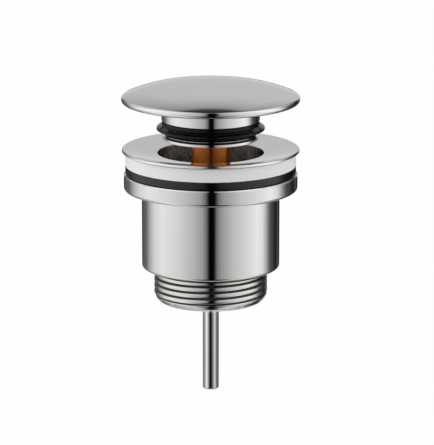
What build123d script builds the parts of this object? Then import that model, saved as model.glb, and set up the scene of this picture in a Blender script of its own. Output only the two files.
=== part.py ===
"""Click-clack basin waste, shown raised, as an assembly of its separate pieces.

Z is the axis. Height 0 is the face of the sealing washer that beds on the basin.
The flange and the plug are above it, and the tail pipe and the stem below it.
"""

from build123d import *
from math import cos, degrees, radians, sin, sqrt
import os

# Fits, as radial gaps
RUNNING_FIT = 0.05
SEAT_FIT = 0.01
LOOSE_FIT = 0.345
END_FLOAT = 0.1

# Parallel pipe thread, size one and a quarter, drawn at its major diameter
PIPE_D = 41.91

# Flange with its throat
FLANGE_D = 65.5
RIM_RISE = 6.6
RIM_EDGE = 1.1
RIM_BEVEL_W = 1.55
RIM_BEVEL_H = 0.5
RIM_BREAK = 0.25
DISH_DROP = 1.85
DISH_KNEE_D = 52.4
DISH_KNEE_RISE = 0.7
PLATE_T = 2.3
SEAT_D = 39.2
SEAT_L = 10.2
SEAT_STEP_L = 1.3
LIP_ROUND = 0.3
THROAT_BORE_D = 36.6
THROAT_DEPTH = 34.5
PIPE_LEAD = 1.2

# Seals and clamping pieces under the flange
WASHER_D = 63.0
WASHER_BED = 0.02
GASKET_T = 3.1
CLAMP_RING_D = 64.1
CLAMP_RING_T = 6.1
RING_ROUND = 1.2
RING_BEVEL = 0.4
SLIP_WASHER_T = 0.5

# Lower body with its tail
BODY_D = 50.9
BODY_ROUND = 1.9
FEMALE_THREAD_L = 11.0
RELIEF_D = 44.6
RELIEF_CONE = 2.0
END_GAP = 1.1
BODY_FLOOR = 2.8
BODY_BEVEL = 0.6
TAIL_L = 12.7
TAIL_BORE_D = 34.0
TAIL_LEAD_L = 3.2
TAIL_LEAD_W = 1.2
TAIL_NOSE_L = 0.7
TAIL_NOSE_W = 0.85
TAIL_INNER_BEVEL = 0.5

# Cross that carries the cartridge
CROSS_RING_T = 2.3
CROSS_RING_H = 4.4
CROSS_SHOULDER = 0.45
ARM_COUNT = 4
ARM_W = 2.6
ARM_H = 6.4
HUB_D = 19.2
HUB_H = 8.9
HUB_BEVEL = 0.8
LOCK_NUT_ACROSS = 19.0
LOCK_NUT_T = 2.8

# Travel of the plug
CLOSING = 11.0
OVERPRESS = 1.0

# Cartridge: barrel, its guide bush and its floor
BARREL_D = 14.3
BARREL_WALL = 1.55
BARREL_LIP_T = 0.8
BARREL_LIP_W = 0.6
BARREL_FLOOR = 1.4
BARREL_BEVEL = 0.4
GUIDE_BUSH_T = 3.4

# Cam: a track round the rotor, with pins fixed in the barrel running in it
CAM_CYCLES = 4
CAM_TURN = 30.0
CAM_LEAN = 8.0
CAM_LEAN_RISE = 0.6
CAM_NOTCH_AT = 45.0
CAM_RETURN_AT = 82.0
CAM_RETURN_RISE = 0.7
CAM_PIN_D = 1.6
CAM_PIN_COUNT = 2
TRACK_SIDE_GAP = 0.15
TRACK_END_GAP = 0.25
TRACK_DEPTH = 1.2
ROTOR_D = 10.6
ROTOR_END_WALL = 0.85

# Stem and what it carries
STEM_D = 6.0
STEM_L = 113.5
STEM_BEVEL = 0.4
COLLAR_D = 10.2
COLLAR_T = 1.6
COLLAR_PIN_D = 1.0
SPRING_SEAT_D = 10.4
SPRING_SEAT_T = 0.8
SPRING_L = 18.2
SPRING_D = 8.8
SPRING_WIRE = 0.8
SPRING_TURNS = 5

# Plug
DISC_LIFT = 3.38
DISC_D = 35.6
DISC_T = 1.82
DISC_EDGE_BREAK = 0.15
DISC_BEVEL = 0.85
BARREL_GAP = 0.5
BARREL_REVEAL = 0.8
SPIGOT_WALL = 2.7
DISC_THREAD_L = 3.6
DISC_THREAD_WALL = 2.3
LIP_SEAL_H = 5.15
LIP_SEAL_D = 39.9
LIP_SEAL_BASE_D = 35.9
LIP_SEAL_WALL = 2.1
LIP_SEAL_EDGE = 0.8
LIP_SEAL_FOOT_W = 1.6
LIP_SEAL_TIP_RISE = 1.75
LIP_SEAL_BACK = 1.1
NECK_D = 36.2
NECK_WALL = 2.7
PLUG_HEADROOM = 0.42
WEB_T = 2.7
STUB_D = 9.9
STUB_H = 4.2
CLIP_FROM_TOP = 1.8
CLIP_T = 1.0
CLIP_DEPTH = 0.6
CLIP_WIDTH = 1.3
CLIP_MOUTH = 1.4

# Cap
CAP_D = 65.8
CAP_RISE = 7.3
CAP_NOSE = 1.3
CROWN_SLOPE = 4.0
CAP_SLOPE = 23.6
CAP_WALL = 2.2
CAP_LAP = 0.8
CAP_RECESS_IN_D = 39.2
CAP_RECESS_OUT_D = 60.4

# Heights and radii that several pieces share
pipe_r = PIPE_D / 2
flange_r = FLANGE_D / 2
lip_z = RIM_RISE - DISH_DROP
seat_bottom = lip_z - SEAT_L
clear_bore_r = pipe_r + LOOSE_FIT
gasket_bottom = -GASKET_T
ring_bottom = gasket_bottom - CLAMP_RING_T
body_top = ring_bottom - SLIP_WASHER_T
throat_end = -THROAT_DEPTH
relief_end = throat_end - END_GAP
body_bottom = relief_end - BODY_FLOOR
tail_end = body_bottom - TAIL_L

disc_bottom = RIM_RISE + DISC_LIFT
disc_top = disc_bottom + DISC_T
neck_bottom = disc_top + LIP_SEAL_H
travel = CLOSING + OVERPRESS
barrel_r = BARREL_D / 2
barrel_bore_r = barrel_r - BARREL_WALL
barrel_top = disc_bottom - BARREL_REVEAL
bush_top = barrel_top - BARREL_LIP_T
collar_top = bush_top - GUIDE_BUSH_T - END_FLOAT
rotor_top = collar_top - COLLAR_T - END_FLOAT

track_half = CAM_PIN_D / 2 + TRACK_SIDE_GAP
track_foot = ROTOR_END_WALL + CAM_PIN_D / 2 + TRACK_END_GAP
rotor_h = 2 * track_foot + travel + CAM_LEAN_RISE
rotor_bottom = rotor_top - rotor_h
pin_z = rotor_bottom + track_foot
spring_top = rotor_bottom - END_FLOAT - SPRING_SEAT_T
floor_top = spring_top - SPRING_L
barrel_bottom = floor_top - BARREL_FLOOR
stem_r = STEM_D / 2
guide_r = stem_r + RUNNING_FIT

web_bottom = barrel_top + travel + PLUG_HEADROOM
web_top = web_bottom + WEB_T
stub_top = web_top + STUB_H
stub_r = STUB_D / 2
stem_top = stub_top - STEM_BEVEL
stem_bottom = stem_top - STEM_L
clip_top = stub_top - CLIP_FROM_TOP
clip_bottom = clip_top - CLIP_T
clip_in_r = stem_r - CLIP_DEPTH
clip_out_r = clip_in_r + CLIP_WIDTH
spigot_r = LIP_SEAL_BASE_D / 2 - LIP_SEAL_WALL
spigot_bore_r = spigot_r - SPIGOT_WALL
cap_foot = web_top - CAP_LAP
cap_r = CAP_D / 2
apex = cap_foot + CAP_RISE

# The dome's two arcs meet at the crown slope and end on the nose at the cap's slope
crown = radians(CROWN_SLOPE)
slope = radians(CAP_SLOPE)
shoulder_r = cap_r - CAP_NOSE + CAP_NOSE * sin(slope)
shoulder_z = cap_foot + CAP_NOSE + CAP_NOSE * cos(slope)
crown_run, crown_fall = sin(crown), 1 - cos(crown)
flank_run, flank_fall = sin(slope) - sin(crown), cos(crown) - cos(slope)
shares = crown_run * flank_fall - flank_run * crown_fall
crown_r = (shoulder_r * flank_fall - (apex - shoulder_z) * flank_run) / shares
flank_r = ((apex - shoulder_z) * crown_run - shoulder_r * crown_fall) / shares
crown_edge_r = crown_r * crown_run

cross_bottom = throat_end + END_FLOAT
cross_ring_r = THROAT_BORE_D / 2 + CROSS_SHOULDER
hub_top = cross_bottom + HUB_H


def turned(outline, rounds=(), bevels=()):
    """Turn a closed half section of (radius, height) points about the Z axis.

    rounds and bevels are pairs of a corner of the outline and its size.
    """
    section = make_face(Polyline(*outline, close=True))
    for (radius, height), size in rounds:
        corner = section.vertices().sort_by_distance((radius, height, 0))[0]
        section = fillet(corner, size)
    for (radius, height), size in bevels:
        corner = section.vertices().sort_by_distance((radius, height, 0))[0]
        section = chamfer(corner, size)
    return revolve(Plane.XZ * section, Axis.Z)


def ring(inner_r, outer_r, bottom, top, rounds=(), bevels=()):
    """A plain ring; its corners are named by radius and height as in turned."""
    outline = [(inner_r, bottom), (outer_r, bottom), (outer_r, top), (inner_r, top)]
    return turned(outline, rounds, bevels)


def rod(radius, bottom, top):
    """A plain upright bar on the axis."""
    return Pos(0, 0, bottom) * extrude(Circle(radius), top - bottom)


def radial_bar(radius, inner, outer, height, angle):
    """A round bar that lies along a radius at the given height and angle."""
    start = Plane(origin=(inner, 0, height), z_dir=(1, 0, 0))
    return Rot(0, 0, angle) * extrude(start * Circle(radius), outer - inner)


def plate_underside(radius):
    """Height of the flange's sloping underside at a radius."""
    outer_r = flange_r - RIM_BEVEL_W
    outer_z = RIM_RISE - RIM_EDGE - RIM_BEVEL_H
    root_z = lip_z - PLATE_T
    return root_z + (outer_z - root_z) * (radius - pipe_r) / (outer_r - pipe_r)


def make_flange_throat():
    """Dished flange and threaded throat in one; the plug's lip seals in its upper bore."""
    seat_r = SEAT_D / 2
    bore_r = THROAT_BORE_D / 2
    socket_top = cross_bottom + CROSS_RING_H
    bevel_r = flange_r - RIM_BEVEL_W
    edge_z = RIM_RISE - RIM_EDGE
    socket_r = cross_ring_r + SEAT_FIT
    outline = [
        (seat_r, lip_z),
        (DISH_KNEE_D / 2, lip_z + DISH_KNEE_RISE),
        (flange_r, RIM_RISE),
        (flange_r, edge_z),
        (bevel_r, edge_z - RIM_BEVEL_H),
        (pipe_r, plate_underside(pipe_r)),
        (pipe_r, throat_end),
        (socket_r, throat_end),
        (socket_r, socket_top),
        (bore_r, socket_top),
        (bore_r, seat_bottom - SEAT_STEP_L),
        (seat_r, seat_bottom),
    ]
    bevels = [((pipe_r, throat_end), PIPE_LEAD), ((flange_r, RIM_RISE), RIM_BREAK)]
    return turned(outline, [((seat_r, lip_z), LIP_ROUND)], bevels)


def make_sealing_washer():
    """Soft washer that fills the flange's hollow underside and beds on the basin."""
    inner_r = clear_bore_r
    outer_r = WASHER_D / 2
    outline = [
        (inner_r, 0),
        (outer_r, 0),
        (outer_r, plate_underside(outer_r) - WASHER_BED),
        (inner_r, plate_underside(inner_r) - WASHER_BED),
    ]
    return turned(outline)


def make_clamp_ring():
    """Ring that spreads the screwed body's pull over the gasket."""
    outer_r = CLAMP_RING_D / 2
    return ring(
        clear_bore_r,
        outer_r,
        ring_bottom,
        gasket_bottom,
        [((outer_r, ring_bottom), RING_ROUND)],
        [((outer_r, gasket_bottom), RING_BEVEL)],
    )


def make_lower_body():
    """Cup that screws up the throat, with the threaded tail that takes the trap."""
    body_r = BODY_D / 2
    thread_r = pipe_r + RUNNING_FIT
    relief_r = RELIEF_D / 2
    tail_bore_r = TAIL_BORE_D / 2
    thread_end = body_top - FEMALE_THREAD_L
    outline = [
        (thread_r, body_top),
        (body_r, body_top),
        (body_r, body_bottom),
        (pipe_r, body_bottom),
        (pipe_r, tail_end + TAIL_LEAD_L),
        (pipe_r - TAIL_LEAD_W, tail_end + TAIL_NOSE_L),
        (pipe_r - TAIL_LEAD_W - TAIL_NOSE_W, tail_end),
        (tail_bore_r, tail_end),
        (tail_bore_r, relief_end - RELIEF_CONE),
        (relief_r, relief_end),
        (relief_r, thread_end),
        (thread_r, thread_end),
    ]
    bevels = [
        ((thread_r, body_top), BODY_BEVEL),
        ((tail_bore_r, tail_end), TAIL_INNER_BEVEL),
    ]
    return turned(outline, [((body_r, body_bottom), BODY_ROUND)], bevels)


def make_cross():
    """Ring with arms and a hub, screwed into the throat's end to carry the cartridge."""
    hub_r = HUB_D / 2
    bore_r = barrel_r + SEAT_FIT
    wall_in = cross_ring_r - CROSS_RING_T
    ring_top = cross_bottom + CROSS_RING_H
    frame = ring(wall_in, cross_ring_r, cross_bottom, ring_top)
    frame += ring(bore_r, hub_r, cross_bottom, hub_top, [], [((hub_r, hub_top), HUB_BEVEL)])
    arm_mid = (bore_r + wall_in) / 2 + CROSS_RING_T / 2
    arm_l = wall_in - bore_r
    for arm in range(ARM_COUNT):
        angle = 360 / ARM_COUNT * (arm + 0.5)
        bar = Pos(arm_mid, 0, cross_bottom + ARM_H / 2) * Box(arm_l, ARM_W, ARM_H)
        frame += Rot(0, 0, angle) * bar
    return frame - ring(cross_ring_r, 2 * cross_ring_r, cross_bottom, hub_top)


def make_lock_nut():
    """Hexagon nut that locks the cartridge barrel in the hub."""
    hexagon = RegularPolygon(LOCK_NUT_ACROSS / 2, 6, major_radius=False)
    hole = Circle(barrel_r + SEAT_FIT)
    return Pos(0, 0, hub_top) * extrude(hexagon - hole, LOCK_NUT_T)


def cam_pin_angles():
    return [360 / CAM_PIN_COUNT * pin for pin in range(CAM_PIN_COUNT)]


def make_cartridge_barrel():
    """Brass tube with a floor below and a rolled lip above, drilled for the cam pins."""
    lip_r = barrel_bore_r - BARREL_LIP_W
    outline = [
        (guide_r, barrel_bottom),
        (barrel_r, barrel_bottom),
        (barrel_r, barrel_top),
        (lip_r, barrel_top),
        (lip_r, bush_top),
        (barrel_bore_r, bush_top),
        (barrel_bore_r, floor_top),
        (guide_r, floor_top),
    ]
    edges = [((barrel_r, barrel_bottom), BARREL_BEVEL), ((barrel_r, barrel_top), BARREL_BEVEL)]
    barrel = turned(outline, [], edges)
    for angle in cam_pin_angles():
        barrel -= radial_bar(CAM_PIN_D / 2 + SEAT_FIT, 0, BARREL_D, pin_z, angle)
    return barrel


def make_cam_pins():
    """Pins fixed in the barrel wall, whose inner ends run in the rotor's track."""
    inner = ROTOR_D / 2 - TRACK_DEPTH + TRACK_END_GAP
    outer = barrel_r - RUNNING_FIT
    pins = [radial_bar(CAM_PIN_D / 2, inner, outer, pin_z, angle) for angle in cam_pin_angles()]
    return Compound(children=pins)


def cam_stations():
    """Turns and rises of one cycle of the track, from one raised place to the next.

    The pin climbs the first ramp as the plug goes down, leans on past the notch's edge,
    drops into the notch where the plug stays closed, and comes back down the last ramp.
    """
    top = travel + CAM_LEAN_RISE
    return [
        (0, 0),
        (CAM_TURN, travel),
        (CAM_TURN + CAM_LEAN, top),
        (CAM_NOTCH_AT, CLOSING),
        (CAM_NOTCH_AT + CAM_LEAN, top),
        (CAM_RETURN_AT, CAM_RETURN_RISE),
        (360 / CAM_CYCLES, 0),
    ]


def track_leg(start, end):
    """Cutter for one leg of the track: a bar that winds round the rotor at a steady slope."""
    turn = end[0] - start[0]
    rise = end[1] - start[1]
    outer = ROTOR_D / 2
    winding = Helix(abs(rise) / turn * 360, abs(rise), outer, lefthand=rise < 0)
    section = Plane(origin=winding @ 0, z_dir=winding % 0, x_dir=(1, 0, 0))
    bar = sweep(section * Rectangle(2 * TRACK_DEPTH, 2 * track_half), winding, is_frenet=True)
    low_turn, low_rise = start if rise > 0 else end
    return Pos(0, 0, pin_z + low_rise) * Rot(0, 0, low_turn) * bar


def make_cam_rotor():
    """Moulded sleeve that the cam track turns in steps as the stem carries it up and down."""
    rotor = ring(guide_r, ROTOR_D / 2, rotor_bottom, rotor_top)
    stations = cam_stations()
    floor_r = ROTOR_D / 2 - TRACK_DEPTH
    cutters = []
    for start, end in zip(stations, stations[1:]):
        cutters.append(track_leg(start, end))
        cutters.append(radial_bar(track_half, floor_r, ROTOR_D, pin_z + end[1], end[0]))
    for cycle in range(CAM_CYCLES):
        for cutter in cutters:
            rotor -= Rot(0, 0, 360 / CAM_CYCLES * cycle) * cutter
    return rotor


def make_stem():
    """Long guide rod of the plug, grooved for its clip and drilled for the collar pin."""
    stem = rod(stem_r, stem_bottom, stem_top)
    ends = stem.edges().filter_by(GeomType.CIRCLE)
    stem = chamfer(ends, STEM_BEVEL)
    stem -= ring(clip_in_r - RUNNING_FIT, STEM_D, clip_bottom - RUNNING_FIT, clip_top + RUNNING_FIT)
    return stem - collar_pin_bar(SEAT_FIT)


def collar_pin_bar(gap):
    """The cross pin of the collar, or with a gap the hole that it sits in."""
    reach = COLLAR_D / 2 - RUNNING_FIT + gap
    return radial_bar(COLLAR_PIN_D / 2 + gap, -reach, reach, collar_top - COLLAR_T / 2, 45)


def make_collar():
    """Collar pinned on the stem: it stops the plug's rise and pushes the rotor down."""
    collar = ring(stem_r + SEAT_FIT, COLLAR_D / 2, collar_top - COLLAR_T, collar_top)
    pin_r = COLLAR_PIN_D / 2 + SEAT_FIT
    return collar - radial_bar(pin_r, -COLLAR_D, COLLAR_D, collar_top - COLLAR_T / 2, 45)


def make_return_spring():
    """Open coil of flat wire between the barrel's floor and the spring seat."""
    coil_r = SPRING_D / 2
    height = SPRING_L - SPRING_WIRE
    winding = Helix(height / SPRING_TURNS, height, coil_r)
    across = Plane(origin=winding @ 0, z_dir=winding % 0, x_dir=(1, 0, 0))
    wire = sweep(across * Rectangle(SPRING_WIRE, SPRING_WIRE), winding, is_frenet=True)
    coil = Pos(0, 0, floor_top + SPRING_WIRE / 2) * wire
    return coil & ring(stem_r, barrel_bore_r, floor_top, spring_top)


def make_plug_core():
    """Hollow neck of the plug: a web and a stub hold the cap, a spigot carries the seal."""
    neck_r = NECK_D / 2
    hollow_r = neck_r - NECK_WALL
    outline = [
        (guide_r, web_bottom),
        (hollow_r, web_bottom),
        (hollow_r, neck_bottom + NECK_WALL),
        (spigot_bore_r, neck_bottom),
        (spigot_bore_r, disc_top),
        (spigot_r, disc_top),
        (spigot_r, neck_bottom),
        (neck_r, neck_bottom),
        (neck_r, web_top),
        (stub_r, web_top),
        (stub_r, stub_top),
        (guide_r, stub_top),
    ]
    core = turned(outline)
    groove_r = clip_out_r + RUNNING_FIT
    return core - ring(stem_r, groove_r, clip_bottom - RUNNING_FIT, clip_top + RUNNING_FIT)


def make_plug_clip():
    """Open wire ring that snaps the plug on the stem and lets it turn."""
    mouth = degrees(CLIP_MOUTH / clip_out_r)
    across = Pos(clip_in_r + CLIP_WIDTH / 2, clip_bottom + CLIP_T / 2) * Rectangle(CLIP_WIDTH, CLIP_T)
    return revolve(Plane.XZ * across, Axis.Z, revolution_arc=360 - mouth)


def make_lip_seal():
    """Rubber ring on the spigot, with a thin lip that wipes the throat's seat."""
    base_r = LIP_SEAL_BASE_D / 2
    tip_r = LIP_SEAL_D / 2
    tip_low = disc_top + LIP_SEAL_TIP_RISE
    tip_high = tip_low + LIP_SEAL_EDGE
    outline = [
        (spigot_r + SEAT_FIT, disc_top),
        (base_r - LIP_SEAL_FOOT_W, disc_top),
        (base_r - LIP_SEAL_EDGE, tip_low - LIP_SEAL_EDGE),
        (tip_r, tip_low),
        (tip_r, tip_high),
        (base_r, tip_high + LIP_SEAL_BACK),
        (base_r, neck_bottom),
        (spigot_r + SEAT_FIT, neck_bottom),
    ]
    return turned(outline)


def make_seal_retainer():
    """Chrome disc that screws into the spigot and holds the lip seal up."""
    disc_r = DISC_D / 2
    hole_r = barrel_r + BARREL_GAP
    thread_r = spigot_bore_r - SEAT_FIT
    outline = [
        (hole_r, disc_bottom),
        (disc_r, disc_bottom),
        (disc_r, disc_top),
        (thread_r, disc_top),
        (thread_r, disc_top + DISC_THREAD_L),
        (thread_r - DISC_THREAD_WALL, disc_top + DISC_THREAD_L),
        (thread_r - DISC_THREAD_WALL, disc_top),
        (hole_r, disc_top),
    ]
    edges = [((disc_r, disc_bottom), DISC_EDGE_BREAK), ((disc_r, disc_top), DISC_BEVEL)]
    return turned(outline, [], edges)


def dome_height(radius):
    """Height of the cap's top at a radius: a flat crown arc, then a tighter flank arc."""
    if radius < crown_edge_r:
        return apex - crown_r + sqrt(crown_r**2 - radius**2)
    centre_r = crown_edge_r - flank_r * sin(crown)
    centre_z = apex - crown_r + (crown_r - flank_r) * cos(crown)
    return centre_z + sqrt(flank_r**2 - (radius - centre_r) ** 2)


def dome_arc(start_r, end_r):
    """The dome's outline between two radii that lie on one of its arcs."""
    radii = (start_r, (start_r + end_r) / 2, end_r)
    return ThreePointArc(*[(radius, dome_height(radius)) for radius in radii])


def make_plug_cap():
    """Domed cap with a rounded rim, a ring-shaped hollow below and a threaded middle."""
    nose_r = cap_r - CAP_NOSE
    nose_z = cap_foot + CAP_NOSE
    nose_mid = (nose_r + CAP_NOSE * cos(slope / 2), nose_z - CAP_NOSE * sin(slope / 2))
    nose = ThreePointArc((shoulder_r, shoulder_z), nose_mid, (nose_r, cap_foot))
    hole_r = stub_r + SEAT_FIT
    hole_top = stub_top + RUNNING_FIT
    recess_in = CAP_RECESS_IN_D / 2
    recess_out = CAP_RECESS_OUT_D / 2
    underside = Polyline(
        (nose_r, cap_foot),
        (recess_out, cap_foot),
        (recess_out, dome_height(recess_out) - CAP_WALL),
        (recess_in, dome_height(recess_in) - CAP_WALL),
        (recess_in, web_top),
        (hole_r, web_top),
        (hole_r, hole_top),
        (0, hole_top),
        (0, apex),
    )
    outline = [dome_arc(0, crown_edge_r), dome_arc(crown_edge_r, shoulder_r), nose, underside]
    section = make_face([edge for line in outline for edge in line.edges()])
    return revolve(Plane.XZ * section, Axis.Z)


pieces = {
    "flange_throat": make_flange_throat(),
    "sealing_washer": make_sealing_washer(),
    "gasket": ring(clear_bore_r, WASHER_D / 2, gasket_bottom, 0),
    "clamp_ring": make_clamp_ring(),
    "slip_washer": ring(clear_bore_r, BODY_D / 2 - LOOSE_FIT, body_top, ring_bottom),
    "lower_body": make_lower_body(),
    "cross": make_cross(),
    "lock_nut": make_lock_nut(),
    "cartridge_barrel": make_cartridge_barrel(),
    "guide_bush": ring(guide_r, barrel_bore_r - SEAT_FIT, bush_top - GUIDE_BUSH_T, bush_top),
    "cam_pins": make_cam_pins(),
    "cam_rotor": make_cam_rotor(),
    "return_spring": make_return_spring(),
    "spring_seat": ring(stem_r + SEAT_FIT, SPRING_SEAT_D / 2, spring_top, spring_top + SPRING_SEAT_T),
    "stem": make_stem(),
    "stem_collar": make_collar(),
    "collar_pin": collar_pin_bar(0),
    "plug_clip": make_plug_clip(),
    "plug_core": make_plug_core(),
    "lip_seal": make_lip_seal(),
    "seal_retainer": make_seal_retainer(),
    "plug_cap": make_plug_cap(),
}

os.makedirs("parts", exist_ok=True)
for name, shape in pieces.items():
    export_step(shape, f"parts/{name}.step")
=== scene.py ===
"""Looks of the click-clack basin waste: polished chrome on brass, rubber and silicone rings.

Every turned piece is a closed outline spun about the upright axis, in millimetres.
"""

from math import atan2, ceil, cos, degrees, hypot, pi, radians, sin, tan

import bmesh
import bpy
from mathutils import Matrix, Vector


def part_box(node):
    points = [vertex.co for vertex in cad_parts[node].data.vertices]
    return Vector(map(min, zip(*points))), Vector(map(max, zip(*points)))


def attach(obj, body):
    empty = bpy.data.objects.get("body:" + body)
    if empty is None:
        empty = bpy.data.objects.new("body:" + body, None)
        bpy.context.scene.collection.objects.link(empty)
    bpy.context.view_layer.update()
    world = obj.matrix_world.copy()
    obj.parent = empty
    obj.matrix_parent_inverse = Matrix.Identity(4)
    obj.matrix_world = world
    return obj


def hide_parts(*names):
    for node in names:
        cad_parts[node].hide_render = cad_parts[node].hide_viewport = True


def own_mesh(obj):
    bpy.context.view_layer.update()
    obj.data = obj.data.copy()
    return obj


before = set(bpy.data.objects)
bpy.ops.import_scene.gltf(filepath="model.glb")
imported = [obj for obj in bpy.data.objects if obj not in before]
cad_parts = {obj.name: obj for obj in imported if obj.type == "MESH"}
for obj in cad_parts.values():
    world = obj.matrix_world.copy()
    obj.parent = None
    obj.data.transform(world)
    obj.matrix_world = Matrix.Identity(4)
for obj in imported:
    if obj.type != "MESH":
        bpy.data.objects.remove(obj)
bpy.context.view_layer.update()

MM = 0.001

# Camera, found from the photograph: place and aim in the row frame
CAMERA_X = 2.33
CAMERA_Y = -1250.28
CAMERA_Z = 269.5
CAMERA_DOWN = 13.12
LENS = 280.4
SENSOR = 36.0

# Light: the softboxes and flags stand on a ball of this radius round the part
TENT_R = 500
TENT_Z = 10
FLOOR_Z = -600
DIFFUSE_LEVEL = 0.68
LAMP_SIZE = 700

# Finishes: between these levels lies nearly all of a noise texture
NOISE_LOW = 0.3
NOISE_HIGH = 0.7

# Turned pieces
FINE_SPIN = 288
MIDDLE_SPIN = 192
SMALL_SPIN = 96
EDGE = 0.12
SMOOTH_TURN = radians(14)
SHARP_TURN = radians(35)
ROUND_STEP = radians(11)
ROUND_REACH = 0.45
ON_AXIS = 1e-6

# Pipe thread, right-hand, size one and a quarter, as shallow as its outline in the photograph.
# The groove's wall lies between GROOVE_SHARE and ROOT_SHARE of the way from its middle to the
# crest's. THREAD_RUN is how far the tool takes to run in, and SLEEVE_LAP is how far the sleeve
# that carries the thread reaches into the piece that it lies on.
PITCH = 2.309
THREAD_DEPTH = 0.5
GROOVE_SHARE = 0.58
ROOT_SHARE = 0.03
CREST_CROWN = 0.05
THREAD_ROW = 0.11
THREAD_RUN = 0.6 * PITCH
SLEEVE_LAP = 0.05


def extent(node):
    """Bottom, top and outer radius of a CAD node, in millimetres."""
    low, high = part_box(node)
    return low.z / MM, high.z / MM, high.x / MM


# Outlines


def arc(centre, radius, start, end, steps=12):
    """Points on an arc, from one angle to another in degrees, 0 outwards and 90 up."""
    angles = [radians(start + (end - start) * step / steps) for step in range(steps + 1)]
    return [(centre[0] + radius * cos(a), centre[1] + radius * sin(a)) for a in angles]


def softened(outline):
    """Outline with each corner broken by a small round, as plating and polishing leave it.

    A corner is (radius, height) or (radius, height, round). Returns the points and, for the
    stretch after each point, whether it is part of a curve.
    """
    corners = [corner if len(corner) > 2 else (*corner, EDGE) for corner in outline]
    points, curved = [], []
    for index, (r, z, wanted) in enumerate(corners):
        back = Vector(corners[index - 1][:2]) - Vector((r, z))
        onward = Vector(corners[(index + 1) % len(corners)][:2]) - Vector((r, z))
        turn = pi - back.angle(onward)
        shallow = turn < SMOOTH_TURN
        if shallow or r < EDGE or wanted == 0:
            points.append((r, z))
            curved.append(shallow and onward.length < back.length * 4)
            continue
        longest = ROUND_REACH * min(back.length, onward.length)
        reach = min(wanted * tan(turn / 2), longest)
        start = Vector((r, z)) + back.normalized() * reach
        end = Vector((r, z)) + onward.normalized() * reach
        steps = max(2, ceil(turn / ROUND_STEP))
        for step in range(steps + 1):
            points.append(round_point(start, Vector((r, z)), end, turn, step / steps))
            curved.append(step < steps)
    return points, curved


def round_point(start, corner, end, turn, share):
    """Point on the arc that touches both sides of a corner at start and end."""
    radius = (start - corner).length / tan(turn / 2)
    inward = ((start + end) / 2 - corner).normalized()
    centre = corner + inward * radius / cos(turn / 2)
    spoke = start - centre
    angle = -spoke.angle_signed(end - centre) * share
    turned_x = spoke.x * cos(angle) - spoke.y * sin(angle)
    turned_y = spoke.x * sin(angle) + spoke.y * cos(angle)
    return (centre.x + turned_x, centre.y + turned_y)


def side_normals(points, curved):
    """For each stretch, its normal at its start and at its end, smooth along curves."""
    count = len(points)
    flat = []
    for index, (r, z) in enumerate(points):
        next_r, next_z = points[(index + 1) % count]
        flat.append(Vector((next_z - z, r - next_r)).normalized())

    def shared(before, after):
        if flat[before].angle(flat[after], 0) > SHARP_TURN:
            return None
        if curved[before] == curved[after]:
            return (flat[before] + flat[after]).normalized()
        return flat[after] if curved[before] else flat[before]

    pairs = []
    for index in range(count):
        start = shared(index - 1, index) or flat[index]
        end = shared(index, (index + 1) % count) or flat[index]
        pairs.append((start, end))
    return pairs


def spun(name, outline, spin=FINE_SPIN):
    """Closed mesh of an outline turned about the Z axis, with its normals taken from it."""
    area = sum(
        a[0] * b[1] - b[0] * a[1] for a, b in zip(outline, [*outline[1:], outline[0]])
    )
    points, curved = softened(outline if area > 0 else outline[::-1])
    normals = side_normals(points, curved)
    vertices, rings = [], []
    for r, z in points:
        if r < ON_AXIS:
            rings.append([len(vertices)] * spin)
            vertices.append((0, 0, z * MM))
            continue
        rings.append([len(vertices) + step for step in range(spin)])
        for step in range(spin):
            angle = 2 * pi * step / spin
            vertices.append((r * cos(angle) * MM, r * sin(angle) * MM, z * MM))
    faces, loops = [], []
    for index, (start, end) in enumerate(normals):
        here, there = rings[index], rings[(index + 1) % len(rings)]
        if here[0] == here[1] and there[0] == there[1]:
            continue
        for step in range(spin):
            after = (step + 1) % spin
            around = [(here[step], step, start), (here[after], step + 1, start)]
            around += [(there[after], step + 1, end), (there[step], step, end)]
            kept = [corner for at, corner in enumerate(around) if corner[0] != around[at - 1][0]]
            faces.append([corner[0] for corner in kept])
            for _, place, normal in kept:
                angle = 2 * pi * place / spin
                loops.append((normal.x * cos(angle), normal.x * sin(angle), normal.y))
    mesh = bpy.data.meshes.new(name)
    mesh.from_pydata(vertices, [], faces)
    mesh.shade_smooth()
    mesh.normals_split_custom_set(loops)
    piece = bpy.data.objects.new(name, mesh)
    bpy.context.scene.collection.objects.link(piece)
    return piece


def plain_ring(name, inner_r, outer_r, bottom, top, spin=FINE_SPIN, edge=EDGE):
    outline = [(inner_r, bottom, edge), (outer_r, bottom, edge), (outer_r, top, edge)]
    return spun(name, [*outline, (inner_r, top, edge)], spin)


# Nodes


def hexed(value):
    """Linear colour from an sRGB hex value."""
    channels = [int(value[at:at + 2], 16) / 255 for at in (1, 3, 5)]
    linear = [c / 12.92 if c <= 0.04045 else ((c + 0.055) / 1.055) ** 2.4 for c in channels]
    return (*linear, 1)


def add(tree, kind, settings=None, **links):
    """Adds a node, sets its properties, and sets or links its inputs by name or number."""
    node = tree.nodes.new(kind)
    for key, value in (settings or {}).items():
        setattr(node, key, value)
    for key, value in links.items():
        socket = node.inputs[int(key[1:]) if key[1:].isdigit() else key.replace("_", " ")]
        if isinstance(value, bpy.types.NodeSocket):
            tree.links.new(value, socket)
        else:
            socket.default_value = value
    return node


def material(name):
    made = bpy.data.materials.new(name)
    made.use_nodes = True
    made.node_tree.nodes.clear()
    return made, made.node_tree


def surface(tree, base, **sockets):
    shader = add(tree, "ShaderNodeBsdfPrincipled", Base_Color=base, **sockets)
    add(tree, "ShaderNodeOutputMaterial", Surface=shader.outputs[0])


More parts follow.
